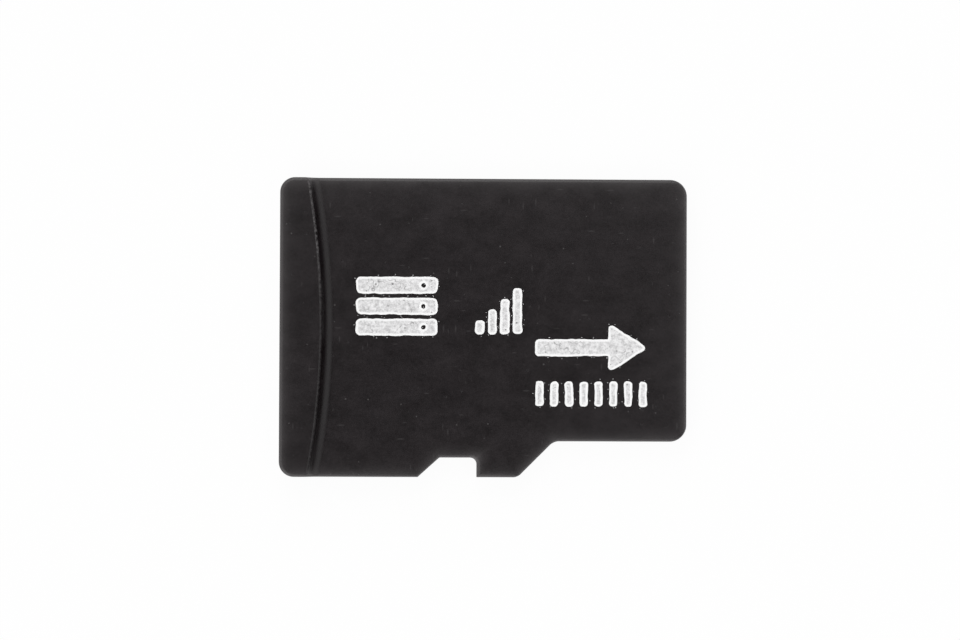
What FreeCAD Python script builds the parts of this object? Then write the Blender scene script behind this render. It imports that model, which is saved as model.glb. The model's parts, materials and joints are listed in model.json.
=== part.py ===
"""Miniature flash memory card: a moulded case over a circuit board with gold contacts.

Millimetres. +X points to the end that goes into the socket first, +Y to the straight long edge
and +Z out of the label face. The origin is the middle of the footprint, on the contact face.
"""

import FreeCAD
import Part

import math
import os

Vector = FreeCAD.Vector
X_AXIS = Vector(1, 0, 0)
Z_AXIS = Vector(0, 0, 1)
TOUCHING = 1e-6

# Whole card
CARD_LENGTH = 15.0
CARD_WIDTH = 11.0
CARD_THICKNESS = 0.70
BOARD_THICKNESS = 0.20

# Plan outline, with the shoulder set back from the front end and the notch a tab behind the shoulder
REAR_CORNER_RADIUS = 0.55
FRONT_CORNER_RADIUS = 0.62
SHOULDER_SETBACK = 4.90
SHOULDER_DEPTH = 1.33
SHOULDER_ANGLE = 45.0
SHOULDER_INNER_RADIUS = 0.45
SHOULDER_OUTER_RADIUS = 0.38
TAB_LENGTH = 1.50
NOTCH_DEPTH = 0.72
NOTCH_FLOOR_LENGTH = 1.38
NOTCH_RAMP_ANGLE = 42.0
NOTCH_WALL_RADIUS = 0.26
NOTCH_RAMP_RADIUS = 0.08

# Finger lip across the rear of the label face, and the rounded rim along the whole upper edge
LIP_HEIGHT = 0.30
LIP_DEPTH = 1.52
LIP_ARC_RADIUS = 30.0
LIP_FACE_DRAFT = 35.0
LIP_CREST_RADIUS = 0.15
LIP_TOE_RADIUS = 0.52
LIP_TOE_SHARE = 0.75
LIP_CREST_SHARE = 0.22
RIM_RADIUS = 0.14
RIM_CREST_SHARE = 0.94

# Contacts on the underside
CONTACT_COUNT = 8
POWER_CONTACTS = (4, 6)
CONTACT_SIDE_MARGIN = 0.585
CONTACT_GAP = 0.30
CONTACT_SETBACK = 1.10
POWER_CONTACT_SETBACK = 0.70
CONTACT_REAR_SETBACK = 4.00
CONTACT_NOSE_RADIUS = 0.20
CONTACT_THICKNESS = 0.04
CONTACT_RECESS = 0.02

# Chips on the board
DIE_FILM_THICKNESS = 0.02
MEMORY_SETBACK = 1.20
MEMORY_SIDE_MARGIN = 1.14
MEMORY_THICKNESS = 0.15
MEMORY_WIRE_COUNT = 18
DIE_GAP = 1.60
CONTROLLER_SETBACK = 3.80
CONTROLLER_LENGTH = 2.40
CONTROLLER_WIDTH = 3.00
CONTROLLER_THICKNESS = 0.15
CONTROLLER_REAR_WIRE_COUNT = 12
CONTROLLER_FRONT_WIRE_COUNT = 8

# Bond wires and the lands that they end on
WIRE_RADIUS = 0.0125
WIRE_SIDE_COUNT = 6
WIRE_LOOP_HEIGHT = 0.08
WIRE_ROW_MARGIN = 0.40
WIRE_PAD_INSET = 0.10
FINGER_GAP = 0.20
FINGER_LENGTH = 0.30
FINGER_WIDTH = 0.10
FINGER_THICKNESS = 0.02

# Chip capacitors and resistor
PASSIVE_LENGTH = 0.60
PASSIVE_WIDTH = 0.30
CAPACITOR_HEIGHT = 0.30
RESISTOR_HEIGHT = 0.23
TERMINAL_LENGTH = 0.15
TERMINAL_WALL = 0.015
PASSIVE_SIDE_GAP = 0.50
PASSIVE_ROW_GAP = 0.21
SOLDER_THICKNESS = 0.02
SOLDER_REACH = 0.12
SOLDER_RISE = 0.14
SOLDER_HOLLOW_SHARE = 0.33

# Places that follow from the sizes above
REAR_X = -CARD_LENGTH / 2
FRONT_X = CARD_LENGTH / 2
STRAIGHT_Y = CARD_WIDTH / 2
NOTCHED_Y = -CARD_WIDTH / 2
NARROW_Y = NOTCHED_Y + SHOULDER_DEPTH
FRONT_CENTRE_Y = (STRAIGHT_Y + NARROW_Y) / 2
LIP_TOP = CARD_THICKNESS + LIP_HEIGHT
CONTROLLER_FRONT_X = FRONT_X - CONTROLLER_SETBACK
CONTROLLER_REAR_X = CONTROLLER_FRONT_X - CONTROLLER_LENGTH
MEMORY_REAR_X = REAR_X + MEMORY_SETBACK
MEMORY_FRONT_X = CONTROLLER_REAR_X - DIE_GAP
MEMORY_WIDTH = CARD_WIDTH - NOTCH_DEPTH - 2 * MEMORY_SIDE_MARGIN
MEMORY_CENTRE_Y = NOTCH_DEPTH / 2
DIE_BASE = BOARD_THICKNESS + DIE_FILM_THICKNESS
MEMORY_TOP = DIE_BASE + MEMORY_THICKNESS
CONTROLLER_TOP = DIE_BASE + CONTROLLER_THICKNESS


def rounded_polygon(corners):
    """Closed wire through the corners, each (x, y, radius), with a tangent arc at every radius."""
    points = [Vector(x, y, 0) for x, y, _ in corners]
    bends = []
    for i, (_, _, radius) in enumerate(corners):
        corner = points[i]
        back = (points[i - 1] - corner).normalize()
        ahead = (points[(i + 1) % len(points)] - corner).normalize()
        half_angle = back.getAngle(ahead) / 2
        reach = radius / math.tan(half_angle)
        inwards = (back + ahead).normalize()
        middle = corner + inwards * (radius / math.sin(half_angle) - radius)
        bends.append((corner + back * reach, middle, corner + ahead * reach))
    edges = []
    for i, (start, middle, end) in enumerate(bends):
        if corners[i][2] > 0:
            edges.append(Part.Arc(start, middle, end).toShape())
        next_start = bends[(i + 1) % len(bends)][0]
        if end.distanceToPoint(next_start) > TOUCHING:
            edges.append(Part.LineSegment(end, next_start).toShape())
    return Part.Wire(edges)


def card_outline():
    """Plan of the card, anticlockwise from the rear corner on the notched edge."""
    shoulder_x = FRONT_X - SHOULDER_SETBACK
    tab_x = shoulder_x - SHOULDER_DEPTH / math.tan(math.radians(SHOULDER_ANGLE))
    notch_wall_x = tab_x - TAB_LENGTH
    notch_floor_x = notch_wall_x - NOTCH_FLOOR_LENGTH
    notch_floor_y = NOTCHED_Y + NOTCH_DEPTH
    notch_ramp_x = notch_floor_x - NOTCH_DEPTH / math.tan(math.radians(NOTCH_RAMP_ANGLE))
    return rounded_polygon([
        (REAR_X, NOTCHED_Y, REAR_CORNER_RADIUS),
        (notch_ramp_x, NOTCHED_Y, 0),
        (notch_floor_x, notch_floor_y, NOTCH_RAMP_RADIUS),
        (notch_wall_x, notch_floor_y, NOTCH_WALL_RADIUS),
        (notch_wall_x, NOTCHED_Y, 0),
        (tab_x, NOTCHED_Y, SHOULDER_OUTER_RADIUS),
        (shoulder_x, NARROW_Y, SHOULDER_INNER_RADIUS),
        (FRONT_X, NARROW_Y, FRONT_CORNER_RADIUS),
        (FRONT_X, STRAIGHT_Y, FRONT_CORNER_RADIUS),
        (REAR_X, STRAIGHT_Y, REAR_CORNER_RADIUS),
    ])


def slab(wire, bottom, top):
    """The area inside a plan wire, raised from one height to another."""
    solid = Part.Face(wire).extrude(Z_AXIS * (top - bottom))
    solid.translate(Z_AXIS * bottom)
    return solid


def box(x, y, z):
    """A box between two values on each axis."""
    solid = Part.makeBox(x[1] - x[0], y[1] - y[0], z[1] - z[0])
    solid.translate(Vector(x[0], y[0], z[0]))
    return solid


def about(centre, size):
    """The two ends of a length that is centred on a value."""
    return (centre - size / 2, centre + size / 2)


def crest_radius():
    """Radius of the lip's crest, within its share of the lip's face."""
    draft = math.radians(LIP_FACE_DRAFT)
    reach = math.tan((math.pi / 2 - draft) / 2)
    return min(LIP_CREST_RADIUS, LIP_CREST_SHARE * LIP_HEIGHT / math.cos(draft) / reach)


def label_side():
    """All that lies under the lip and the label, in one section turned about the centre of the lip's arc."""
    crest_x = REAR_X + LIP_DEPTH
    draft = math.radians(LIP_FACE_DRAFT)
    foot_x = crest_x + LIP_HEIGHT * math.tan(draft)
    reach = math.tan((math.pi / 2 - draft) / 2)
    toe_radius = min(LIP_TOE_RADIUS, LIP_TOE_SHARE * LIP_HEIGHT / math.cos(draft) / reach)
    behind_x = REAR_X - LIP_DEPTH
    ahead_x = FRONT_X + LIP_DEPTH
    section = rounded_polygon([
        (behind_x, BOARD_THICKNESS, 0),
        (ahead_x, BOARD_THICKNESS, 0),
        (ahead_x, CARD_THICKNESS, 0),
        (foot_x, CARD_THICKNESS, toe_radius),
        (crest_x, LIP_TOP, crest_radius()),
        (behind_x, LIP_TOP, 0),
    ])
    section.rotate(Vector(), X_AXIS, 90)
    arc_centre = Vector(crest_x - LIP_ARC_RADIUS, 0, 0)
    side_angle = math.degrees(math.asin(min(1, CARD_WIDTH / (LIP_ARC_RADIUS - 2 * LIP_DEPTH))))
    section.rotate(arc_centre, Z_AXIS, -side_angle)
    return Part.Face(section).revolve(arc_centre, Z_AXIS, 2 * side_angle)


def is_wall(face):
    """Whether a face stands upright."""
    low_u, high_u, low_v, high_v = face.ParameterRange
    return abs(face.normalAt((low_u + high_u) / 2, (low_v + high_v) / 2).z) < TOUCHING


def upper_rim(solid):
    """The edges where a solid's upright walls meet the label side."""
    raised = [e for e in solid.Edges if e.BoundBox.ZMin > CARD_THICKNESS - RIM_RADIUS]
    return [e for e in raised if len({is_wall(f) for f in solid.ancestorsOfType(e, Part.Face)}) == 2]


def moulded_case(moulded_over):
    """The moulding from the board's top face up, closed round what it covers, with its upper rim rounded."""
    case = slab(card_outline(), BOARD_THICKNESS, LIP_TOP + LIP_HEIGHT).common(label_side())
    for solids in moulded_over:
        case = case.cut(solids)
    rim_radius = min(RIM_RADIUS, RIM_CREST_SHARE * crest_radius())
    return case.makeFillet(rim_radius, upper_rim(case))


def contact_plate(number):
    """One contact, from its recessed face up to the floor of its window in the board."""
    front_width = STRAIGHT_Y - NARROW_Y
    gaps = CONTACT_GAP * (CONTACT_COUNT - 1)
    width = (front_width - 2 * CONTACT_SIDE_MARGIN - gaps) / CONTACT_COUNT
    pitch = width + CONTACT_GAP
    centre_y = FRONT_CENTRE_Y + (number - (CONTACT_COUNT + 1) / 2) * pitch
    low_y, high_y = about(centre_y, width)
    setback = POWER_CONTACT_SETBACK if number in POWER_CONTACTS else CONTACT_SETBACK
    front_x = FRONT_X - setback
    rear_x = FRONT_X - CONTACT_REAR_SETBACK
    plan = rounded_polygon([
        (rear_x, low_y, 0),
        (front_x, low_y, CONTACT_NOSE_RADIUS),
        (front_x, high_y, CONTACT_NOSE_RADIUS),
        (rear_x, high_y, 0),
    ])
    return slab(plan, CONTACT_RECESS, CONTACT_RECESS + CONTACT_THICKNESS), slab(plan, 0, CONTACT_RECESS)


def wire_rows():
    """Each die's rows of bond wires: (x of the die's edge, way out of the die, die top, y of each wire)."""
    memory_y = row_places(MEMORY_CENTRE_Y, MEMORY_WIDTH, MEMORY_WIRE_COUNT)
    rear_y = row_places(FRONT_CENTRE_Y, CONTROLLER_WIDTH, CONTROLLER_REAR_WIRE_COUNT)
    front_y = row_places(FRONT_CENTRE_Y, CONTROLLER_WIDTH, CONTROLLER_FRONT_WIRE_COUNT)
    return {
        "memory": [(MEMORY_FRONT_X, 1, MEMORY_TOP, memory_y)],
        "controller": [
            (CONTROLLER_REAR_X, -1, CONTROLLER_TOP, rear_y),
            (CONTROLLER_FRONT_X, 1, CONTROLLER_TOP, front_y),
        ],
    }


def row_places(centre_y, die_width, count):
    """The y of each wire in a row along one side of a die."""
    span = die_width - 2 * WIRE_ROW_MARGIN
    return [centre_y - span / 2 + span * i / (count - 1) for i in range(count)]


def bond_finger(edge_x, way, y):
    """The plated land of one wire, let into the board's top face."""
    ends = sorted(edge_x + way * reach for reach in (FINGER_GAP, FINGER_GAP + FINGER_LENGTH))
    return box(ends, about(y, FINGER_WIDTH), (BOARD_THICKNESS - FINGER_THICKNESS, BOARD_THICKNESS))


def bond_wire(edge_x, way, die_top, y):
    """One wire: straight up from the die's pad, over, and down to the middle of its land."""
    pad_x = edge_x - way * WIRE_PAD_INSET
    land_x = edge_x + way * (FINGER_GAP + FINGER_LENGTH / 2)
    loop_top = die_top + WIRE_LOOP_HEIGHT
    path = [
        Vector(pad_x, y, die_top),
        Vector(pad_x, y, loop_top),
        Vector(edge_x, y, loop_top),
        Vector(land_x, y, BOARD_THICKNESS),
    ]
    runs = [(b - a).normalize() for a, b in zip(path, path[1:])]
    cuts = [Z_AXIS] + [(a + b).normalize() for a, b in zip(runs, runs[1:])] + [Z_AXIS]
    sections = []
    for point, run, cut in zip(path, [runs[0]] + runs, cuts):
        across = run.cross(Vector(0, 1, 0))
        ring = []
        for corner in range(WIRE_SIDE_COUNT):
            angle = 2 * math.pi * corner / WIRE_SIDE_COUNT
            offset = across * (WIRE_RADIUS * math.cos(angle))
            slide = run * (-offset.dot(cut) / run.dot(cut))
            ring.append(point + offset + slide + Vector(0, WIRE_RADIUS * math.sin(angle), 0))
        sections.append(Part.makePolygon(ring + ring[:1]))
    return Part.makeLoft(sections, True, True)


def passive_places():
    """The middle of each chip component, in two rows beside the controller."""
    row_x = CONTROLLER_REAR_X + PASSIVE_LENGTH / 2
    next_x = row_x + PASSIVE_LENGTH + 2 * SOLDER_REACH + PASSIVE_ROW_GAP
    reach_y = CONTROLLER_WIDTH / 2 + PASSIVE_SIDE_GAP + PASSIVE_WIDTH / 2
    return {
        "supply_capacitor": (row_x, FRONT_CENTRE_Y + reach_y, CAPACITOR_HEIGHT),
        "core_capacitor": (next_x, FRONT_CENTRE_Y + reach_y, CAPACITOR_HEIGHT),
        "bus_capacitor": (row_x, FRONT_CENTRE_Y - reach_y, CAPACITOR_HEIGHT),
        "pull_up_resistor": (next_x, FRONT_CENTRE_Y - reach_y, RESISTOR_HEIGHT),
    }


def chip_component(x, y, height):
    """A ceramic block with a metal cap over each end."""
    base = BOARD_THICKNESS + SOLDER_THICKNESS
    ceramic = box(
        about(x, PASSIVE_LENGTH - 2 * TERMINAL_WALL),
        about(y, PASSIVE_WIDTH - 2 * TERMINAL_WALL),
        (base + TERMINAL_WALL, base + height - TERMINAL_WALL),
    )
    caps = []
    for end in (-1, 1):
        cap_x = x + end * (PASSIVE_LENGTH - TERMINAL_LENGTH) / 2
        cap = box(about(cap_x, TERMINAL_LENGTH), about(y, PASSIVE_WIDTH), (base, base + height))
        caps.append(cap.cut(ceramic))
    return [ceramic] + caps


def solder_joint(x, y, end):
    """Solder under one cap, drawn up the cap's end in a hollow fillet."""
    base = BOARD_THICKNESS
    seat = base + SOLDER_THICKNESS
    end_x = x + end * PASSIVE_LENGTH / 2
    inner = Vector(end_x - end * TERMINAL_LENGTH, y, base)
    toe = Vector(end_x + end * SOLDER_REACH, y, base)
    crown = Vector(end_x, y, seat + SOLDER_RISE)
    rise = SOLDER_THICKNESS + SOLDER_RISE
    hollow = Vector(end_x + end * SOLDER_REACH * SOLDER_HOLLOW_SHARE, y, base + rise * SOLDER_HOLLOW_SHARE)
    corner = Vector(end_x, y, seat)
    inner_top = Vector(inner.x, y, seat)
    outline = Part.Wire([
        Part.LineSegment(inner, toe).toShape(),
        Part.Arc(toe, hollow, crown).toShape(),
        Part.LineSegment(crown, corner).toShape(),
        Part.LineSegment(corner, inner_top).toShape(),
        Part.LineSegment(inner_top, inner).toShape(),
    ])
    joint = Part.Face(outline).extrude(Vector(0, PASSIVE_WIDTH, 0))
    joint.translate(Vector(0, -PASSIVE_WIDTH / 2, 0))
    return joint


def memory_parts():
    """The memory die and the adhesive film under it."""
    x = (MEMORY_REAR_X, MEMORY_FRONT_X)
    y = about(MEMORY_CENTRE_Y, MEMORY_WIDTH)
    return {
        "memory_die_film": [box(x, y, (BOARD_THICKNESS, DIE_BASE))],
        "memory_die": [box(x, y, (DIE_BASE, MEMORY_TOP))],
    }


def controller_parts():
    """The controller die and the adhesive film under it."""
    x = (CONTROLLER_REAR_X, CONTROLLER_FRONT_X)
    y = about(FRONT_CENTRE_Y, CONTROLLER_WIDTH)
    return {
        "controller_die_film": [box(x, y, (BOARD_THICKNESS, DIE_BASE))],
        "controller_die": [box(x, y, (DIE_BASE, CONTROLLER_TOP))],
    }


def wire_parts():
    """The bond wires of each die, and the lands of all of them."""
    parts = {"bond_fingers": []}
    for die, rows in wire_rows().items():
        wires = []
        for edge_x, way, die_top, places in rows:
            for y in places:
                wires.append(bond_wire(edge_x, way, die_top, y))
                parts["bond_fingers"].append(bond_finger(edge_x, way, y))
        parts[die + "_bond_wires"] = wires
    return parts


def passive_parts():
    """The chip components and their solder."""
    parts = {"solder_joints": []}
    for name, (x, y, height) in passive_places().items():
        parts[name] = chip_component(x, y, height)
        parts["solder_joints"] += [solder_joint(x, y, end) for end in (-1, 1)]
    return parts


def build_card():
    """Every piece of the card, as node name to its solids."""
    on_board = {**memory_parts(), **controller_parts(), **wire_parts(), **passive_parts()}
    contacts, windows = {}, []
    for number in range(1, CONTACT_COUNT + 1):
        plate, window = contact_plate(number)
        contacts[f"contact_{number}"] = [plate]
        windows += [plate, window]
    board = slab(card_outline(), 0, BOARD_THICKNESS).cut(windows + on_board["bond_fingers"])
    moulded_over = [solids for name, solids in on_board.items() if name != "bond_fingers"]
    case = moulded_case(moulded_over)
    return {"moulded_case": case.Solids, "circuit_board": board.Solids, **contacts, **on_board}


def main():
    os.makedirs("parts", exist_ok=True)
    for name, solids in build_card().items():
        shape = solids[0] if len(solids) == 1 else Part.makeCompound(solids)
        shape.exportStep(f"parts/{name}.step")


main()
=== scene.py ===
"""Looks of a miniature flash memory card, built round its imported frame.

The card's own frame: +X to the end that goes in first, +Y to the straight long edge, +Z out of the label.
Sizes are in millimetres and are brought to metres as each piece is finished.
"""

import json
import math

import bmesh
import bpy
from mathutils import Matrix, Vector, noise


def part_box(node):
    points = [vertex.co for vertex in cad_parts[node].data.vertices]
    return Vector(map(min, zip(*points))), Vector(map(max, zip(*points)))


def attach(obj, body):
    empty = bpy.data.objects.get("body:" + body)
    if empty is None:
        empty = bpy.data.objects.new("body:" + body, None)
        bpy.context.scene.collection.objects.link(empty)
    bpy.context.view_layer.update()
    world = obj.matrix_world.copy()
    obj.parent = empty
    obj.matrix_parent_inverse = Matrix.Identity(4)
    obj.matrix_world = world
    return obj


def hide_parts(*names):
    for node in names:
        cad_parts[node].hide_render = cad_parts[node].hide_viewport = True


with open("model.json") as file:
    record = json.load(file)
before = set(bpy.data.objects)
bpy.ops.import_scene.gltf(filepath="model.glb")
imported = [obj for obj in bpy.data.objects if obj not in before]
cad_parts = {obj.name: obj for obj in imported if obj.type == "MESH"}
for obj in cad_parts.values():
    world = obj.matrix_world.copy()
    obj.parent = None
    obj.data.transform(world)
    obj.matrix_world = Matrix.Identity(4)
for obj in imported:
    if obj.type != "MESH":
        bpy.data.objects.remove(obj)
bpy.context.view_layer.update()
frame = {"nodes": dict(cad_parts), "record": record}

MM = 0.001
CASE_LOW, CASE_HIGH = (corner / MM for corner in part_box("moulded_case"))
REAR_X, FRONT_X = CASE_LOW.x, CASE_HIGH.x
NOTCHED_Y, STRAIGHT_Y = CASE_LOW.y, CASE_HIGH.y
BOARD_TOP, LIP_TOP = CASE_LOW.z, CASE_HIGH.z

# Moulded case
LABEL_Z = 0.70
RIM_RADIUS = 0.14
REAR_CORNER_RADIUS = 0.55
FRONT_CORNER_RADIUS = 0.62
SHOULDER_SETBACK = 4.90
SHOULDER_DEPTH = 1.33
SHOULDER_INNER_RADIUS = 0.45
SHOULDER_OUTER_RADIUS = 0.38
TAB_LENGTH = 1.50
NOTCH_DEPTH = 0.72
NOTCH_FLOOR_LENGTH = 1.38
NOTCH_RAMP_LENGTH = 0.80
NOTCH_WALL_RADIUS = 0.26
NOTCH_RAMP_RADIUS = 0.08

# Finger lip
LIP_DEPTH = 1.52
LIP_ARC_RADIUS = 30.0
LIP_FACE_DRAFT_DEG = 35.0
LIP_CREST_RADIUS = 0.15
LIP_TOE_RADIUS = 0.52
LIP_TURN_DEG = 26.0

# Fineness of the meshes
CORNER_SEGMENTS = 12
RIM_SEGMENTS = 8
LIP_STEPS = 24
HOLE_SEGMENTS = 32
DROP_SEGMENTS = 8
SPUN_MERGE = 1e-6
CUT_MERGE = 1e-5
SHARP_ANGLE = math.radians(35)
LEVEL_ANGLE = math.radians(0.05)
WALL_RISE = 0.01

# White print on the label face
INK_THICKNESS = 0.006
INK_SINK = 0.002
INK_RIM = 0.105
INK_STEP = 0.03
STACK_CENTRE = (-3.20, 0.78)
STACK_BAR = (3.00, 0.62)
STACK_CORNER_RADIUS = 0.18
STACK_PITCH = 0.77
STACK_COUNT = 3
STACK_HOLE_OFFSET = 0.98
STACK_HOLE_RADIUS = 0.085
RISING_CENTRE = (0.55, 0.62)
RISING_BAR_WIDTH = 0.34
RISING_CORNER_RADIUS = 0.13
RISING_PITCH = 0.46
RISING_COUNT = 4
RISING_LOWEST = 0.50
RISING_STEP = 0.40
ARROW_TIP = (6.05, -0.72)
ARROW_LENGTH = 4.15
ARROW_HEAD_LENGTH = 1.45
ARROW_HEAD_WIDTH = 1.85
ARROW_SHAFT = 0.62
ARROW_CORNER_RADIUS = 0.14
ARROW_NECK_RADIUS = 0.05
CONTACT_BAR = (0.30, 0.92)
CONTACT_BAR_CORNER_RADIUS = 0.12
CONTACT_BAR_PITCH = 0.545
CONTACT_BAR_COUNT = 8
CONTACT_BAR_CENTRE = (3.97, -2.42)

# Ragged outline of the ink: each wave's repeats for a millimetre and its reach, and the shift from X to Y
INK_WAVES = ((2.6, 0.030), (7.0, 0.014))
WAVE_SHIFT = Vector((37, 11, 5))

# Stray drops of ink: one for so many points of the outline, their throw and radius, and the noise behind them
DROP_SPACING = 31
DROP_THROW = (0.04, 0.13)
DROP_RADIUS = (0.011, 0.022)
DROP_REPEATS = 61
DROP_SEED = 1

# Grain and specks that the materials share
GRAIN_ROUGHNESS = 0.6
SPECK_LEAST_SHARE = 0.35
SPECK_CORE_SHARE = 0.45

# Rub along the card's edges, partly real wear and partly painted glare, and a painted highlight on the rims
# of the front and notched edges
EDGE_BLEND = 0.5
RUB_AND_GLARE_FADE = 0.15
RUB_DULLING = 0.22
WALL_RUB_SHARE = 0.45
GLARE_FADE = 1.5
GLARE_SHARE = 0.06
STRAIGHT_GLARE_SHARE = 0.17
NOTCHED_SIDE_SHARE = 0.58

# Wear of the finger lip, with a painted glint along its crest and painted light on the lower end of its face
CREST_RUB_AND_GLINT = 0.06
CREST_CORE_SHARE = 0.4
CREST_GLINT_Y = (0.5, 3.6)
CREST_LEAST_GLINT = 0.22
LIP_FACE_END = (3.0, 2.6)
LIP_FACE_LIGHT_Y = (-1.5, -4.6)
LIP_FACE_LIGHT_SHARE = 0.17
LIP_POLISH = 0.07

# Colours of the moulded epoxy
EPOXY_DARK = (0.0018, 0.0001, 0.0006, 1)
EPOXY_LIGHT = (0.0072, 0.0036, 0.0049, 1)
EPOXY_SCRATCH = (0.048, 0.044, 0.045, 1)
EPOXY_SPECK = (0.085, 0.080, 0.081, 1)
# Pale rub colour: real wear at the edges, also used as painted glare near them and as painted light on the
# lip's face
EPOXY_RUBBED_AND_LIT = (0.056, 0.051, 0.052, 1)
# Painted highlight colour for the rims of the front and notched edges and for the lip's crest
EPOXY_HIGHLIGHT = (0.165, 0.154, 0.157, 1)
SCRATCH_SHARE = 0.42
SPECK_SHARE = 0.65

# Board: heights between which its cut edge shows the core, and its colours
CORE_FROM = (0.018, 0.026)
CORE_TO = (0.196, 0.188)
MASK_DARK = (0.004, 0.005, 0.004, 1)
MASK_LIGHT = (0.020, 0.021, 0.020, 1)
MASK_SCUFF = (0.070, 0.069, 0.067, 1)
RESIN_DARK = (0.030, 0.019, 0.010, 1)
RESIN_LIGHT = (0.115, 0.082, 0.046, 1)
GLASS_BUNDLE = (0.020, 0.014, 0.009, 1)
CORE_ROUGHNESS = 0.72

# Colours of the ink and the gold
INK_THIN_DARK = (0.55, 0.545, 0.55, 1)
INK_THIN_LIGHT = (0.88, 0.875, 0.88, 1)
INK_BROKEN = (0.10, 0.096, 0.097, 1)
INK_FULL = (0.96, 0.96, 0.96, 1)
PINHOLE_SHARE = 0.75
GOLD_SHADE = 0.72

# Floor
FLOOR_REACH = 1500.0
APRON_REACH = 30.0
OPENING_SHARE = 0.99
FLOOR_DROP = 0.002
FLOOR_GREY = (0.88, 0.88, 0.88, 1)
FLOOR_GLOW_SHARE = 0.95

# Light: the way to the bright wall, then the cosines and strengths at its dim end and its bright end
WALL_WAY = Vector((-0.85, 0.33, -0.5)).normalized()
WALL_COSINE = (-0.61, 0.15)
WALL_STRENGTH = (0.05, 0.95)

# Lamps: name, place, width and watts
LAMPS = (
    ("far_box", (-25, 120, 75), 110, 0.102),
    ("near_box", (-70, -95, 75), 110, 0.089),
    ("fill_box", (51, 3, 70), 60, 0.0115),
    ("notch_box", (36, -52, 58), 45, 0.006),
)

# Camera, fitted to the card's edges in the photograph
CAMERA_LENS = 110.0
CAMERA_SENSOR = 36.0
CAMERA_PLACE = (-3.498, -2.168, 108.600)
CAMERA_TILT_DEG = (1.302, -1.784, 0.228)
CAMERA_CLIP = (1, 10000)


def connect(tree, value, socket):
    """Links a socket to an input, or sets the input to a plain value."""
    if isinstance(value, bpy.types.NodeSocket):
        tree.links.new(value, socket)
    else:
        socket.default_value = value


def node(tree, kind, settings=None, **inputs):
    """A shader node with its settings, and its inputs set, or linked where the value is a socket."""
    made = tree.nodes.new(kind)
    for key, value in (settings or {}).items():
        setattr(made, key, value)
    for key, value in inputs.items():
        connect(tree, value, made.inputs[key.replace("_", " ")])
    return made


def maths(tree, operation, *values):
    """A math node on sockets or plain numbers."""
    made = node(tree, "ShaderNodeMath", {"operation": operation})
    for value, socket in zip(values, made.inputs):
        connect(tree, value, socket)
    return made.outputs[0]


def vector_maths(tree, operation, *values):
    """The outputs of a vector math node on sockets or plain vectors."""
    made = node(tree, "ShaderNodeVectorMath", {"operation": operation})
    for value, socket in zip(values, made.inputs):
        connect(tree, value, socket)
    return made.outputs


def weighed(tree, first, second):
    """Two values added up, each given with its share."""
    return maths(tree, "ADD", maths(tree, "MULTIPLY", *first), maths(tree, "MULTIPLY", *second))


def remap(tree, value, low, high, to_low=0.0, to_high=1.0):
    """A value taken from one range to another, held at its ends."""
    made = node(tree, "ShaderNodeMapRange", From_Min=low, From_Max=high, To_Min=to_low, To_Max=to_high)
    connect(tree, value, made.inputs["Value"])
    return made.outputs[0]


def fading(tree, distance, reach):
    """1 at no distance, falling to 1/e at the reach, both in millimetres."""
    return maths(tree, "POWER", math.exp(-1 / reach), distance)


def blend_colour(tree, factor, first, second):
    """From the first colour to the second as the factor goes from 0 to 1."""
    made = node(tree, "ShaderNodeMix", {"data_type": "RGBA"})
    for value, socket in zip((factor, first, second), (made.inputs[0], made.inputs[6], made.inputs[7])):
        connect(tree, value, socket)
    return made.outputs[2]


def place_vector(tree):
    """A point's place on the card, in metres."""
    return node(tree, "ShaderNodeTexCoord").outputs["Object"]


def place_parts(tree):
    """A point's place on the card in metres, as X, Y and Z."""
    return node(tree, "ShaderNodeSeparateXYZ", Vector=place_vector(tree)).outputs


def facing_parts(tree):
    """The way that a face looks, as X, Y and Z."""
    normal = node(tree, "ShaderNodeNewGeometry").outputs["Normal"]
    return node(tree, "ShaderNodeSeparateXYZ", Vector=normal).outputs


def effect_group(name, inputs, output):
    """An empty node group with a vector of the object's coordinates times its Repeats input."""
    tree = bpy.data.node_groups.new(name, "ShaderNodeTree")
    tree.interface.new_socket("Repeats", in_out="INPUT", socket_type="NodeSocketVector")
    for label in inputs:
        tree.interface.new_socket(label, in_out="INPUT", socket_type="NodeSocketFloat")
    tree.interface.new_socket(output, in_out="OUTPUT", socket_type="NodeSocketFloat")
    entry = node(tree, "NodeGroupInput")
    scaled = vector_maths(tree, "MULTIPLY", place_vector(tree), entry.outputs["Repeats"])
    return tree, entry, scaled[0]


def grain_group():
    """Soft noise, Repeats times a metre along each axis."""
    tree, entry, place = effect_group("grain", ["Detail"], "Value")
    detail = entry.outputs["Detail"]
    cloud = node(tree, "ShaderNodeTexNoise", Vector=place, Scale=1.0, Detail=detail,
                 Roughness=GRAIN_ROUGHNESS)
    node(tree, "NodeGroupOutput", Value=cloud.outputs["Fac"])
    return tree


def speck_group():
    """Sparse round specks: one in each cell that the Share picks, as wide as Size says."""
    tree, entry, place = effect_group("specks", ["Size", "Share"], "Mask")
    cells = node(tree, "ShaderNodeTexVoronoi", Vector=place, Scale=1.0)
    draw = node(tree, "ShaderNodeSeparateColor", Color=cells.outputs["Color"])
    size_share = maths(tree, "ADD", draw.outputs["Green"], SPECK_LEAST_SHARE)
    reach = maths(tree, "MULTIPLY", entry.outputs["Size"], size_share)
    core = maths(tree, "MULTIPLY", reach, SPECK_CORE_SHARE)
    dot = remap(tree, cells.outputs["Distance"], reach, core)
    picked = maths(tree, "LESS_THAN", draw.outputs["Red"], entry.outputs["Share"])
    node(tree, "NodeGroupOutput", Mask=maths(tree, "MULTIPLY", dot, picked))
    return tree


GRAIN = grain_group()
SPECKS = speck_group()


def effect(tree, group, repeats, **inputs):
    """One of the shared effects in a material, with Repeats for each millimetre along X, Y and Z."""
    made = node(tree, "ShaderNodeGroup", {"node_tree": group}, **inputs)
    made.inputs["Repeats"].default_value = [count / MM for count in repeats]
    return made.outputs[0]


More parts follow.
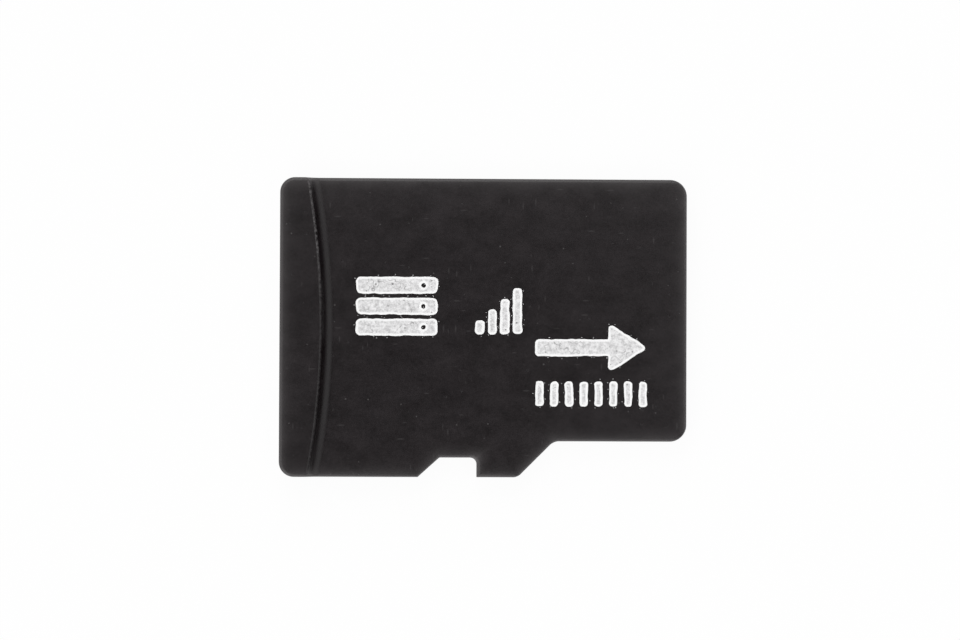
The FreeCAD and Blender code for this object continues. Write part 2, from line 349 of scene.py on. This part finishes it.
def new_material(name, colour, roughness, **settings):
    """A material with a Principled shader that holds the given plain values."""
    material = bpy.data.materials.new(name)
    material.use_nodes = True
    shader = material.node_tree.nodes["Principled BSDF"]
    shader.inputs["Base Color"].default_value = (*colour, 1.0)
    shader.inputs["Roughness"].default_value = roughness
    for key, value in settings.items():
        shader.inputs[key.replace("_", " ")].default_value = value
    return material, material.node_tree, shader


def add_bump(tree, shader, height, depth_mm):
    """Relief on a shader: a height of 1 stands the given depth above a height of 0."""
    relief = node(tree, "ShaderNodeBump", Strength=1.0, Distance=depth_mm * MM, Height=height)
    connect(tree, relief.outputs["Normal"], shader.inputs["Normal"])


def wall_mask(tree):
    """1 on upright faces and 0 on level ones."""
    return remap(tree, maths(tree, "ABSOLUTE", facing_parts(tree)["Z"]), 0.55, 0.25)


def level_mask(tree):
    """1 on level faces that look up and 0 on sloping ones."""
    return remap(tree, facing_parts(tree)["Z"], 0.75, 0.95)


def painted_rim_highlight(tree, wall):
    """1 on the rims of the front and notched edges, where a paler colour is painted on as a highlight, and 0
    elsewhere.
    """
    way = facing_parts(tree)
    to_notched = maths(tree, "MULTIPLY", way["Y"], -NOTCHED_SIDE_SHARE)
    ahead = remap(tree, maths(tree, "MAXIMUM", way["X"], to_notched), 0.15, 0.60)
    return maths(tree, "MULTIPLY", ahead, maths(tree, "SUBTRACT", 1.0, wall))


def lip_face(tree):
    """1 on the finger lip's drafted face and 0 elsewhere."""
    far_x, near_x = ((REAR_X + reach) * MM for reach in LIP_FACE_END)
    near_lip = remap(tree, place_parts(tree)["X"], far_x, near_x)
    return maths(tree, "MULTIPLY", remap(tree, facing_parts(tree)["X"], 0.35, 0.65), near_lip)


def edge_distance(tree):
    """How far a point lies inside the card's plan outline, in millimetres."""
    place = place_vector(tree)

    def inside(way, through):
        """Distance from the line through a point of the outline, along a way that leads into the card."""
        along = vector_maths(tree, "DOT_PRODUCT", place, (way[0] / MM, way[1] / MM, 0))
        return maths(tree, "SUBTRACT", along["Value"], way[0] * through[0] + way[1] * through[1])

    def left_of(start, end):
        """The way that leads into the card from a slanting stretch of the outline."""
        angle = math.atan2(end[1] - start[1], end[0] - start[0])
        return -math.sin(angle), math.cos(angle)

    rear, ramp_start, ramp_end, notch_wall, _, tab_end, shoulder, _, front, _ = card_corners()
    ends = maths(tree, "MINIMUM", inside((1, 0), rear), inside((-1, 0), front))
    sides = maths(tree, "MINIMUM", inside((0, 1), rear), inside((0, -1), front))
    past_slope = inside(left_of(tab_end, shoulder), tab_end)
    past_shoulder = maths(tree, "MAXIMUM", inside((0, 1), shoulder), past_slope)
    past_ramp = inside(left_of(ramp_start, ramp_end), ramp_start)
    past_floor = maths(tree, "MAXIMUM", inside((0, 1), ramp_end), past_ramp)
    past_notch = maths(tree, "MAXIMUM", past_floor, inside((1, 0), notch_wall))
    cuts = maths(tree, "MINIMUM", past_shoulder, past_notch)
    return maths(tree, "MINIMUM", cuts, maths(tree, "SMOOTH_MIN", ends, sides, EDGE_BLEND))


def crest_nearness(tree):
    """1 along the finger lip's crest, falling to 0 beside it."""
    arc_centre = ((REAR_X + LIP_DEPTH - LIP_ARC_RADIUS) * MM, 0, LIP_TOP * MM)
    from_centre = vector_maths(tree, "SUBTRACT", place_vector(tree), arc_centre)
    reach = vector_maths(tree, "LENGTH", from_centre[0])["Value"]
    beside = maths(tree, "ABSOLUTE", maths(tree, "SUBTRACT", reach, LIP_ARC_RADIUS * MM))
    return remap(tree, beside, CREST_RUB_AND_GLINT * MM, CREST_CORE_SHARE * CREST_RUB_AND_GLINT * MM)


def edge_wear_and_glare(tree, wall, mottle, grain):
    """How far the black is rubbed off or painted paler as glare and glint, how strong the painted highlight
    is, and how near an edge a point lies.
    """
    inside = maths(tree, "MAXIMUM", edge_distance(tree), 0.0)
    nearness = fading(tree, inside, RUB_AND_GLARE_FADE)
    place_y = place_parts(tree)["Y"]
    from_straight = maths(tree, "SUBTRACT", STRAIGHT_Y, maths(tree, "DIVIDE", place_y, MM))
    # Painted glare: a paler band fading in from every edge on level faces, stronger beside the straight edge
    around = (fading(tree, inside, GLARE_FADE), GLARE_SHARE)
    beside = (fading(tree, from_straight, GLARE_FADE), STRAIGHT_GLARE_SHARE)
    painted_glare = maths(tree, "MULTIPLY", weighed(tree, around, beside), level_mask(tree))
    # The lip's crest: partly worn, partly a painted glint that is stronger towards the straight edge and
    # broken into chips
    low_y, high_y = (y * MM for y in CREST_GLINT_Y)
    glint_along_y = remap(tree, place_y, low_y, high_y, CREST_LEAST_GLINT, 1.0)
    chips_and_glint = maths(tree, "MULTIPLY", remap(tree, grain, 0.35, 0.6), glint_along_y)
    crest = maths(tree, "MULTIPLY", crest_nearness(tree), chips_and_glint)
    # Edge rub, partly real wear and partly painted glare, joined with the crest's wear and painted glint
    edges = maths(tree, "MAXIMUM", maths(tree, "ADD", nearness, painted_glare), crest)
    worn = maths(tree, "MULTIPLY", edges, remap(tree, mottle, 0.2, 0.8, 0.7, 1.0))
    rub_and_glare = maths(tree, "MULTIPLY", worn, remap(tree, wall, 0.0, 1.0, 1.0, WALL_RUB_SHARE))
    # Painted highlight: paler colour on the rims of the front and notched edges and on the crest
    painted_highlight = maths(tree, "MAXIMUM", painted_rim_highlight(tree, wall), crest)
    return rub_and_glare, painted_highlight, nearness


def moulding_compound():
    """Matte black moulded epoxy: mottled, with pale specks, short scratches, pits, rubbed edges partly
    painted as glare, a painted highlight on front and notched rims and the crest, and painted light low on
    the lip's face.
    """
    material, tree, shader = new_material("moulding_compound", (0.006, 0.003, 0.004), 0.40)
    mottle = effect(tree, GRAIN, (1.0, 1.4, 1.6), Detail=5.0)
    grain = effect(tree, GRAIN, (8, 9, 9), Detail=4.0)
    specks = effect(tree, SPECKS, (2.3, 2.3, 2.3), Size=0.075, Share=0.8)
    along = effect(tree, SPECKS, (0.9, 3.9, 3.9), Size=0.12, Share=0.6)
    across = effect(tree, SPECKS, (3.7, 0.85, 3.7), Size=0.12, Share=0.6)
    pits = effect(tree, SPECKS, (2.1, 2.0, 2.2), Size=0.09, Share=0.6)
    cuts = effect(tree, GRAIN, (16, 16, 0.8), Detail=3.0)
    tone = weighed(tree, (mottle, 0.6), (grain, 0.4))
    scratches = maths(tree, "MAXIMUM", along, across)
    wall = wall_mask(tree)
    drafted = lip_face(tree)
    rub_and_glare, painted_highlight, nearness = edge_wear_and_glare(tree, wall, mottle, grain)

    # Painted light: the lip's drafted face is paler towards its lower end
    low_y, high_y = (y * MM for y in LIP_FACE_LIGHT_Y)
    painted_lower_light = remap(tree, place_parts(tree)["Y"], low_y, high_y, 0.0, LIP_FACE_LIGHT_SHARE)
    black = blend_colour(tree, remap(tree, tone, 0.32, 0.68), EPOXY_DARK, EPOXY_LIGHT)
    scratched = blend_colour(tree, maths(tree, "MULTIPLY", scratches, SCRATCH_SHARE), black, EPOXY_SCRATCH)
    specked = blend_colour(tree, maths(tree, "MULTIPLY", specks, SPECK_SHARE), scratched, EPOXY_SPECK)
    lower_lit = blend_colour(tree, maths(tree, "MULTIPLY", drafted, painted_lower_light), specked, EPOXY_RUBBED_AND_LIT)
    # Where the painted highlight falls, the pale rub colour goes paler still
    rub_and_highlight = blend_colour(tree, painted_highlight, EPOXY_RUBBED_AND_LIT, EPOXY_HIGHLIGHT)
    connect(tree, blend_colour(tree, rub_and_glare, lower_lit, rub_and_highlight), shader.inputs["Base Color"])

    dull = weighed(tree, (nearness, RUB_DULLING), (drafted, -LIP_POLISH))
    roughness = maths(tree, "ADD", remap(tree, tone, 0.30, 0.70, 0.31, 0.46), dull)
    connect(tree, roughness, shader.inputs["Roughness"])
    relief = maths(tree, "SUBTRACT", weighed(tree, (grain, 0.5), (specks, 0.5)), pits)
    add_bump(tree, shader, maths(tree, "ADD", relief, maths(tree, "MULTIPLY", cuts, wall)), depth_mm=0.006)
    return material


def board_laminate():
    """Laminate: scuffed black mask on its faces, brown resin and glass fibres along its cut edge."""
    material, tree, shader = new_material("board_laminate", (0.012, 0.013, 0.012), 0.35)
    scuffs = effect(tree, GRAIN, (0.35, 9, 9), Detail=5.0)
    peel = effect(tree, GRAIN, (7, 7, 7), Detail=2.0)
    fibres = effect(tree, GRAIN, (1.6, 1.6, 38), Detail=4.0)
    bundles = effect(tree, GRAIN, (3.4, 3.4, 9), Detail=2.0)
    clouds = effect(tree, GRAIN, (2.2, 2.2, 2.2), Detail=4.0)
    height = place_parts(tree)["Z"]
    above, below = (remap(tree, height, start * MM, end * MM) for start, end in (CORE_FROM, CORE_TO))
    edge = maths(tree, "MULTIPLY", maths(tree, "MULTIPLY", above, below), wall_mask(tree))
    face = maths(tree, "SUBTRACT", 1.0, edge)

    clean = blend_colour(tree, remap(tree, clouds, 0.35, 0.65), MASK_DARK, MASK_LIGHT)
    mask = blend_colour(tree, remap(tree, scuffs, 0.56, 0.74, 0.0, 0.7), clean, MASK_SCUFF)
    resin = blend_colour(tree, remap(tree, fibres, 0.35, 0.65), RESIN_DARK, RESIN_LIGHT)
    woven = blend_colour(tree, remap(tree, bundles, 0.5, 0.7, 0.0, 0.55), resin, GLASS_BUNDLE)
    connect(tree, blend_colour(tree, edge, mask, woven), shader.inputs["Base Color"])

    polish = remap(tree, scuffs, 0.35, 0.70, 0.24, 0.52)
    connect(tree, weighed(tree, (polish, face), (edge, CORE_ROUGHNESS)), shader.inputs["Roughness"])
    uneven = weighed(tree, (peel, 0.35), (scuffs, 0.35))
    add_bump(tree, shader, weighed(tree, (uneven, face), (fibres, edge)), depth_mm=0.006)
    return material


def plated_gold(name, colour, rub_repeats):
    """Gold plating with fine rub marks, which run along X where they repeat least that way."""
    material, tree, shader = new_material(name, colour, 0.25, Metallic=1.0)
    rubs = effect(tree, GRAIN, rub_repeats, Detail=5.0)
    grain = effect(tree, GRAIN, (24, 24, 24), Detail=3.0)
    shaded = [GOLD_SHADE * part for part in colour]
    worn = blend_colour(tree, remap(tree, rubs, 0.35, 0.7), (*colour, 1), (*shaded, 1))
    connect(tree, worn, shader.inputs["Base Color"])
    connect(tree, remap(tree, rubs, 0.3, 0.7, 0.18, 0.42), shader.inputs["Roughness"])
    add_bump(tree, shader, maths(tree, "ADD", rubs, maths(tree, "MULTIPLY", grain, 0.4)), depth_mm=0.003)
    return material


def plain_grained(name, dark, light, roughness, repeats, **settings):
    """A sealed inner piece: two tones of one colour in a fine grain."""
    material, tree, shader = new_material(name, light, roughness, **settings)
    grain = effect(tree, GRAIN, repeats, Detail=4.0)
    toned = blend_colour(tree, remap(tree, grain, 0.35, 0.65), (*dark, 1), (*light, 1))
    connect(tree, toned, shader.inputs["Base Color"])
    add_bump(tree, shader, grain, depth_mm=0.003)
    return material


def print_ink():
    """White ink: a full rim where it gathered, a thin grainy middle, fine wrinkles and pinholes."""
    material, tree, shader = new_material("print_ink", (0.80, 0.80, 0.80), 0.6)
    rim = node(tree, "ShaderNodeAttribute", {"attribute_name": "rim"}).outputs["Fac"]
    cloud = effect(tree, GRAIN, (5.5, 5.5, 5.5), Detail=3.0)
    fine = effect(tree, GRAIN, (14, 14, 14), Detail=2.0)
    bends = effect(tree, GRAIN, (2.6, 2.6, 2.6), Detail=1.0)
    patches = effect(tree, GRAIN, (0.9, 0.9, 0.9), Detail=2.0)
    holes = effect(tree, SPECKS, (5.0, 5.0, 5.0), Size=0.20, Share=0.55)
    tone = weighed(tree, (cloud, 0.55), (fine, 0.45))
    creases = remap(tree, maths(tree, "ABSOLUTE", maths(tree, "SUBTRACT", bends, 0.5)), 0.016, 0.004)
    wrinkles = maths(tree, "MULTIPLY", creases, remap(tree, patches, 0.50, 0.58, 0.0, 0.6))
    worn = maths(tree, "MAXIMUM", wrinkles, maths(tree, "MULTIPLY", holes, PINHOLE_SHARE))
    thin = blend_colour(tree, remap(tree, tone, 0.38, 0.60), INK_THIN_DARK, INK_THIN_LIGHT)
    broken = blend_colour(tree, worn, thin, INK_BROKEN)
    full = blend_colour(tree, remap(tree, rim, 0.05, 0.40), broken, INK_FULL)
    connect(tree, full, shader.inputs["Base Color"])
    relief = weighed(tree, (tone, 0.6), (rim, 0.6))
    add_bump(tree, shader, maths(tree, "SUBTRACT", relief, worn), depth_mm=0.003)
    return material


def floor_paper():
    """White paper that keeps a soft shadow and shows as white to the eye and in reflections."""
    material = bpy.data.materials.new("floor_paper")
    material.use_nodes = True
    tree = material.node_tree
    tree.nodes.clear()
    paper = node(tree, "ShaderNodeBsdfDiffuse", Color=FLOOR_GREY)
    glow = node(tree, "ShaderNodeEmission", Color=(1, 1, 1, 1), Strength=1.0)
    rays = node(tree, "ShaderNodeLightPath").outputs
    mirrored = maths(tree, "MAXIMUM", rays["Is Glossy Ray"], rays["Is Transmission Ray"])
    seen = maths(tree, "MAXIMUM", rays["Is Camera Ray"], mirrored)
    mixed = node(tree, "ShaderNodeMixShader", Fac=maths(tree, "MULTIPLY", seen, FLOOR_GLOW_SHARE))
    connect(tree, paper.outputs[0], mixed.inputs[1])
    connect(tree, glow.outputs[0], mixed.inputs[2])
    node(tree, "ShaderNodeOutputMaterial", Surface=mixed.outputs[0])
    return material


def rounded_plan(bm, corners):
    """A level face through the corners, each (x, y, radius), rounded where the radius isn't 0."""
    others = set(bm.faces)
    places = [Vector((x, y, 0)) for x, y, _ in corners]
    verts = [bm.verts.new(place) for place in places]
    bm.faces.new(verts)
    for i, (_, _, radius) in enumerate(corners):
        if radius == 0:
            continue
        back = places[i - 1] - places[i]
        ahead = places[(i + 1) % len(places)] - places[i]
        reach = radius / math.tan(back.angle(ahead) / 2)
        bmesh.ops.bevel(bm, geom=[verts[i]], offset=reach, offset_type="OFFSET", affect="VERTICES",
                        segments=CORNER_SEGMENTS, profile=0.5, material=-1, clamp_overlap=False)
    return next(face for face in bm.faces if face not in others)


def raise_faces(bm, faces, height):
    """Closes level faces into a solid of a given height."""
    made = bmesh.ops.extrude_face_region(bm, geom=faces)["geom"]
    raised = [part for part in made if isinstance(part, bmesh.types.BMVert)]
    bmesh.ops.translate(bm, vec=(0, 0, height), verts=raised)


def take_out(bm, face):
    """Takes a face away and gives the edges that are left round it."""
    edges = list(face.edges)
    bmesh.ops.delete(bm, geom=[face], context="FACES_ONLY")
    return edges


def fill_level(bm, edges):
    """Fills level loops of edges with triangles, and leaves a loop inside another open."""
    bmesh.ops.triangle_fill(bm, use_beauty=True, use_dissolve=False, edges=edges, normal=(0, 0, 1))


def card_corners():
    """The card's plan, anticlockwise from the rear corner on the notched edge."""
    narrow_y = NOTCHED_Y + SHOULDER_DEPTH
    shoulder_x = FRONT_X - SHOULDER_SETBACK
    tab_x = shoulder_x - SHOULDER_DEPTH
    notch_wall_x = tab_x - TAB_LENGTH
    notch_floor_x = notch_wall_x - NOTCH_FLOOR_LENGTH
    notch_floor_y = NOTCHED_Y + NOTCH_DEPTH
    return [
        (REAR_X, NOTCHED_Y, REAR_CORNER_RADIUS),
        (notch_floor_x - NOTCH_RAMP_LENGTH, NOTCHED_Y, 0),
        (notch_floor_x, notch_floor_y, NOTCH_RAMP_RADIUS),
        (notch_wall_x, notch_floor_y, NOTCH_WALL_RADIUS),
        (notch_wall_x, NOTCHED_Y, 0),
        (tab_x, NOTCHED_Y, SHOULDER_OUTER_RADIUS),
        (shoulder_x, narrow_y, SHOULDER_INNER_RADIUS),
        (FRONT_X, narrow_y, FRONT_CORNER_RADIUS),
        (FRONT_X, STRAIGHT_Y, FRONT_CORNER_RADIUS),
        (REAR_X, STRAIGHT_Y, REAR_CORNER_RADIUS),
    ]


def plan_block():
    """The card's plan as a solid, from the board to well above the lip."""
    bm = bmesh.new()
    raise_faces(bm, [rounded_plan(bm, card_corners())], 2 * LIP_TOP - BOARD_TOP)
    bmesh.ops.translate(bm, vec=(0, 0, BOARD_TOP), verts=bm.verts)
    bmesh.ops.recalc_face_normals(bm, faces=bm.faces)
    return bm


def label_side():
    """All that lies under the lip and the label, in one section turned about the centre of the lip's arc."""
    crest_x = REAR_X + LIP_DEPTH
    foot_x = crest_x + (LIP_TOP - LABEL_Z) * math.tan(math.radians(LIP_FACE_DRAFT_DEG))
    behind_x = REAR_X - LIP_DEPTH
    ahead_x = FRONT_X + LIP_DEPTH
    bm = bmesh.new()
    section = rounded_plan(bm, [
        (behind_x, 0, 0),
        (ahead_x, 0, 0),
        (ahead_x, LABEL_Z, 0),
        (foot_x, LABEL_Z, LIP_TOE_RADIUS),
        (crest_x, LIP_TOP, LIP_CREST_RADIUS),
        (behind_x, LIP_TOP, 0),
    ])
    arc_centre = (crest_x - LIP_ARC_RADIUS, 0, 0)
    turn = math.radians(LIP_TURN_DEG)
    bmesh.ops.rotate(bm, matrix=Matrix.Rotation(math.pi / 2, 3, "X"), verts=bm.verts)
    bmesh.ops.rotate(bm, cent=arc_centre, matrix=Matrix.Rotation(-turn / 2, 3, "Z"), verts=bm.verts)
    bmesh.ops.spin(bm, geom=[section, *section.edges, *section.verts], cent=arc_centre, axis=(0, 0, 1),
                   angle=turn, steps=LIP_STEPS)
    bmesh.ops.remove_doubles(bm, verts=bm.verts, dist=SPUN_MERGE)
    bmesh.ops.recalc_face_normals(bm, faces=bm.faces)
    return bm


def mesh_object(name, bm):
    """An object in the scene that takes over the bmesh."""
    mesh = bpy.data.meshes.new(name)
    bm.to_mesh(mesh)
    bm.free()
    made = bpy.data.objects.new(name, mesh)
    bpy.context.scene.collection.objects.link(made)
    return made


def common_part(first, second):
    """What two objects have in common. Both are used up."""
    cutter = first.modifiers.new("common", "BOOLEAN")
    cutter.object = second
    cutter.operation = "INTERSECT"
    cutter.solver = "EXACT"
    bpy.context.view_layer.update()
    mesh = bpy.data.meshes.new_from_object(first.evaluated_get(bpy.context.evaluated_depsgraph_get()))
    bm = bmesh.new()
    bm.from_mesh(mesh)
    for spent in (first, second):
        bpy.data.objects.remove(spent)
    bpy.data.meshes.remove(mesh)
    return bm


def finished_piece(name, bm, material):
    """A piece in metres at the origin, smooth between its sharp edges, riding on the card."""
    bmesh.ops.scale(bm, vec=(MM, MM, MM), verts=bm.verts)
    for face in bm.faces:
        face.smooth = True
    for edge in bm.edges:
        edge.smooth = len(edge.link_faces) == 2 and edge.calc_face_angle(0) < SHARP_ANGLE
    piece = mesh_object(name, bm)
    piece.data.materials.append(material)
    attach(piece, "root")
    return piece


def is_rim(edge):
    """Whether an edge joins an upright wall to the label side."""
    rises = sorted(abs(face.normal.z) for face in edge.link_faces)
    lowest = min(vert.co.z for vert in edge.verts)
    return rises[0] < WALL_RISE < rises[1] and lowest > BOARD_TOP + RIM_RADIUS


def case_piece(material):
    """The moulded case, finer than the frame's: the card's plan cut to lip and label, with a rounded rim."""
    bm = common_part(mesh_object("block", plan_block()), mesh_object("side", label_side()))
    bmesh.ops.remove_doubles(bm, verts=bm.verts, dist=CUT_MERGE)
    bmesh.ops.dissolve_limit(bm, angle_limit=LEVEL_ANGLE, verts=bm.verts, edges=bm.edges)
    bmesh.ops.recalc_face_normals(bm, faces=bm.faces)
    rim = [edge for edge in bm.edges if is_rim(edge)]
    bmesh.ops.bevel(bm, geom=rim, offset=RIM_RADIUS, offset_type="OFFSET", affect="EDGES",
                    segments=RIM_SEGMENTS, profile=0.5, material=-1, clamp_overlap=False)
    piece = finished_piece("case_moulding", bm, material)
    weighted = piece.modifiers.new("level_normals", "WEIGHTED_NORMAL")
    weighted.keep_sharp = True
    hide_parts("moulded_case")


def ink_ragged(bm):
    """Breaks the clean outline of flat ink into a ragged one."""
    for vert in bm.verts:
        shift = Vector()
        for repeats, reach in INK_WAVES:
            place = vert.co * repeats
            shift += reach * Vector((noise.noise(place), noise.noise(place + WAVE_SHIFT), 0))
        vert.co += shift


def ink_drops(bm, rim):
    """Tiny drops beside the ink's outline, strewn by noise."""
    noise.seed_set(DROP_SEED)
    outline = [vert for vert in bm.verts if vert[rim]]
    for vert in outline[::DROP_SPACING]:
        inner = next(edge.other_vert(vert) for edge in vert.link_edges if not edge.other_vert(vert)[rim])
        outwards = (vert.co - inner.co).normalized()
        draw = noise.noise_vector(vert.co * DROP_REPEATS)
        throw = DROP_THROW[0] + abs(draw.x) * (DROP_THROW[1] - DROP_THROW[0])
        radius = DROP_RADIUS[0] + abs(draw.y) * (DROP_RADIUS[1] - DROP_RADIUS[0])
        place = Matrix.Translation(vert.co + outwards * throw)
        bmesh.ops.create_circle(bm, cap_ends=True, segments=DROP_SEGMENTS, radius=radius, matrix=place)


def ink_piece(name, bm, material):
    """Flat ink shapes given a ragged rim and a thickness, and laid on the label face."""
    rim = bm.verts.layers.float.new("rim")
    while True:
        long_edges = [edge for edge in bm.edges if edge.is_boundary and edge.calc_length() > INK_STEP]
        if not long_edges:
            break
        bmesh.ops.subdivide_edges(bm, edges=long_edges, cuts=1)
    bmesh.ops.recalc_face_normals(bm, faces=bm.faces)
    middle = bm.faces[:]
    bmesh.ops.inset_region(bm, faces=middle, thickness=INK_RIM, use_boundary=True, use_even_offset=True)
    for vert in bm.verts:
        vert[rim] = float(vert.is_boundary)
    bmesh.ops.delete(bm, geom=middle, context="FACES")
    ink_ragged(bm)
    outlines = [edge for edge in bm.edges if edge.is_boundary]
    fill_level(bm, [edge for edge in outlines if not any(vert[rim] for vert in edge.verts)])
    ink_drops(bm, rim)
    raise_faces(bm, bm.faces[:], INK_THICKNESS + INK_SINK)
    bmesh.ops.translate(bm, vec=(0, 0, LABEL_Z - INK_SINK), verts=bm.verts)
    bmesh.ops.recalc_face_normals(bm, faces=bm.faces)
    finished_piece(name, bm, material)


def bar_corners(centre, size, radius):
    """A rounded bar's corners, anticlockwise."""
    (x, y), (length, width) = centre, size
    ways = ((-1, -1), (1, -1), (1, 1), (-1, 1))
    return [(x + way_x * length / 2, y + way_y * width / 2, radius) for way_x, way_y in ways]


def row_places(centre, pitch, count):
    """Places at an even pitch about a centre."""
    return [centre + (number - (count - 1) / 2) * pitch for number in range(count)]


def punch_hole(bm, face, centre, radius):
    """Takes a round hole out of a flat face."""
    outer = take_out(bm, face)
    place = Matrix.Translation((*centre, 0))
    made = bmesh.ops.create_circle(bm, segments=HOLE_SEGMENTS, radius=radius, matrix=place)
    inner = dict.fromkeys(edge for vert in made["verts"] for edge in vert.link_edges)
    fill_level(bm, outer + list(inner))


def stack_mark():
    """Stacked bars, each with a round window: a plain sign for storage."""
    bm = bmesh.new()
    x, y = STACK_CENTRE
    for row_y in row_places(y, STACK_PITCH, STACK_COUNT):
        face = rounded_plan(bm, bar_corners((x, row_y), STACK_BAR, STACK_CORNER_RADIUS))
        punch_hole(bm, face, (x + STACK_HOLE_OFFSET, row_y), STACK_HOLE_RADIUS)
    return bm


def rising_bars():
    """Bars that rise towards the end that goes in first: a plain sign for speed."""
    bm = bmesh.new()
    x, y = RISING_CENTRE
    foot_y = y - (RISING_LOWEST + (RISING_COUNT - 1) * RISING_STEP) / 2
    for number, bar_x in enumerate(row_places(x, RISING_PITCH, RISING_COUNT)):
        height = RISING_LOWEST + number * RISING_STEP
        size = (RISING_BAR_WIDTH, height)
        rounded_plan(bm, bar_corners((bar_x, foot_y + height / 2), size, RISING_CORNER_RADIUS))
    return bm


def arrow_mark():
    """An arrow that points to the end that goes in first."""
    bm = bmesh.new()
    tip_x, tip_y = ARROW_TIP
    neck_x = tip_x - ARROW_HEAD_LENGTH
    tail_x = tip_x - ARROW_LENGTH
    half_head, half_shaft = ARROW_HEAD_WIDTH / 2, ARROW_SHAFT / 2
    rounded_plan(bm, [
        (tail_x, tip_y - half_shaft, ARROW_CORNER_RADIUS),
        (neck_x, tip_y - half_shaft, ARROW_NECK_RADIUS),
        (neck_x, tip_y - half_head, ARROW_CORNER_RADIUS),
        (tip_x, tip_y, ARROW_CORNER_RADIUS),
        (neck_x, tip_y + half_head, ARROW_CORNER_RADIUS),
        (neck_x, tip_y + half_shaft, ARROW_NECK_RADIUS),
        (tail_x, tip_y + half_shaft, ARROW_CORNER_RADIUS),
    ])
    return bm


def contact_bars():
    """A row of short bars, one for each contact on the card's other face."""
    bm = bmesh.new()
    x, y = CONTACT_BAR_CENTRE
    for bar_x in row_places(x, CONTACT_BAR_PITCH, CONTACT_BAR_COUNT):
        rounded_plan(bm, bar_corners((bar_x, y), CONTACT_BAR, CONTACT_BAR_CORNER_RADIUS))
    return bm


def dress_frame():
    """Every node of the frame that stays in view or inside gets its own finish."""
    silicon = plain_grained("silicon", (0.14, 0.15, 0.18), (0.24, 0.25, 0.29), 0.18, (30, 2, 30))
    film = plain_grained("die_film", (0.48, 0.38, 0.21), (0.66, 0.54, 0.33), 0.7, (12, 12, 12))
    ceramic = plain_grained("chip_ceramic", (0.33, 0.22, 0.14), (0.47, 0.34, 0.23), 0.55, (40, 40, 40))
    solder = plain_grained("solder", (0.48, 0.48, 0.50), (0.68, 0.68, 0.70), 0.3, (26, 26, 26), Metallic=1.0)
    finishes = {
        "board_laminate": board_laminate(),
        "contact_gold": plated_gold("contact_gold", (0.80, 0.57, 0.22), (0.7, 22, 22)),
        "wire_gold": plated_gold("wire_gold", (0.84, 0.61, 0.26), (30, 30, 30)),
        "silicon": silicon,
        "die_film": film,
        "chip_ceramic": ceramic,
        "solder": solder,
    }
    slot_of = {row["node"]: row["material_slot"] for row in frame["record"]["subparts"]}
    for name, part in frame["nodes"].items():
        if slot_of[name] in finishes:
            part.data.materials.clear()
            part.data.materials.append(finishes[slot_of[name]])


def add_floor():
    """A wide white floor, open under the card so that the contact face shows from below."""
    bm = bmesh.new()
    bmesh.ops.create_grid(bm, x_segments=1, y_segments=1, size=FLOOR_REACH)
    middle = bm.faces[:]
    bmesh.ops.inset_region(bm, faces=middle, thickness=FLOOR_REACH - APRON_REACH, use_boundary=True,
                           use_even_offset=True)
    outer = take_out(bm, middle[0])
    opening = rounded_plan(bm, card_corners())
    bmesh.ops.scale(bm, vec=(OPENING_SHARE, OPENING_SHARE, 1), verts=opening.verts)
    fill_level(bm, outer + take_out(bm, opening))
    bmesh.ops.translate(bm, vec=(0, 0, -FLOOR_DROP), verts=bm.verts)
    bmesh.ops.scale(bm, vec=(MM, MM, MM), verts=bm.verts)
    floor = mesh_object("floor", bm)
    floor.data.materials.append(floor_paper())


def add_lamp(name, place_mm, size_mm, watts):
    """A square soft lamp aimed at the card."""
    light = bpy.data.lights.new(name, "AREA")
    light.energy = watts
    light.size = size_mm * MM
    lamp = bpy.data.objects.new(name, light)
    lamp.location = Vector(place_mm) * MM
    lamp.visible_camera = False
    lamp.rotation_euler = (-lamp.location).to_track_quat("-Z", "Y").to_euler()
    bpy.context.scene.collection.objects.link(lamp)


def add_light():
    """A bright wall behind the card and at its grip end, a dim ceiling, and soft lamps round it."""
    world = bpy.data.worlds.new("tent")
    bpy.context.scene.world = world
    world.use_nodes = True
    tree = world.node_tree
    sky = tree.nodes["Background"]
    sky.inputs["Color"].default_value = (1, 1, 1, 1)
    way = node(tree, "ShaderNodeTexCoord").outputs["Generated"]
    toward_wall = vector_maths(tree, "DOT_PRODUCT", way, WALL_WAY)["Value"]
    glow = node(tree, "ShaderNodeMapRange", {"interpolation_type": "SMOOTHSTEP"}, Value=toward_wall,
                From_Min=WALL_COSINE[0], From_Max=WALL_COSINE[1],
                To_Min=WALL_STRENGTH[0], To_Max=WALL_STRENGTH[1])
    connect(tree, glow.outputs[0], sky.inputs["Strength"])
    for lamp in LAMPS:
        add_lamp(*lamp)


def add_camera():
    """The photograph's camera, looking down on the label face."""
    data = bpy.data.cameras.new("camera")
    data.lens = CAMERA_LENS
    data.sensor_width = CAMERA_SENSOR
    data.clip_start, data.clip_end = (distance * MM for distance in CAMERA_CLIP)
    camera = bpy.data.objects.new("camera", data)
    tilt_x, tilt_y, roll = (math.radians(angle) for angle in CAMERA_TILT_DEG)
    turn = Matrix.Rotation(tilt_y, 4, "Y") @ Matrix.Rotation(tilt_x, 4, "X") @ Matrix.Rotation(roll, 4, "Z")
    camera.matrix_world = Matrix.Translation(Vector(CAMERA_PLACE) * MM) @ turn
    bpy.context.scene.collection.objects.link(camera)
    bpy.context.scene.camera = camera


def build():
    """The dressed card on its floor, lit and seen as in the photograph."""
    dress_frame()
    case_piece(moulding_compound())
    ink = print_ink()
    ink_piece("print_stack", stack_mark(), ink)
    ink_piece("print_rising_bars", rising_bars(), ink)
    ink_piece("print_arrow", arrow_mark(), ink)
    ink_piece("print_contact_bars", contact_bars(), ink)
    add_floor()
    add_light()
    add_camera()
    bpy.context.scene.view_settings.view_transform = "Standard"


build()
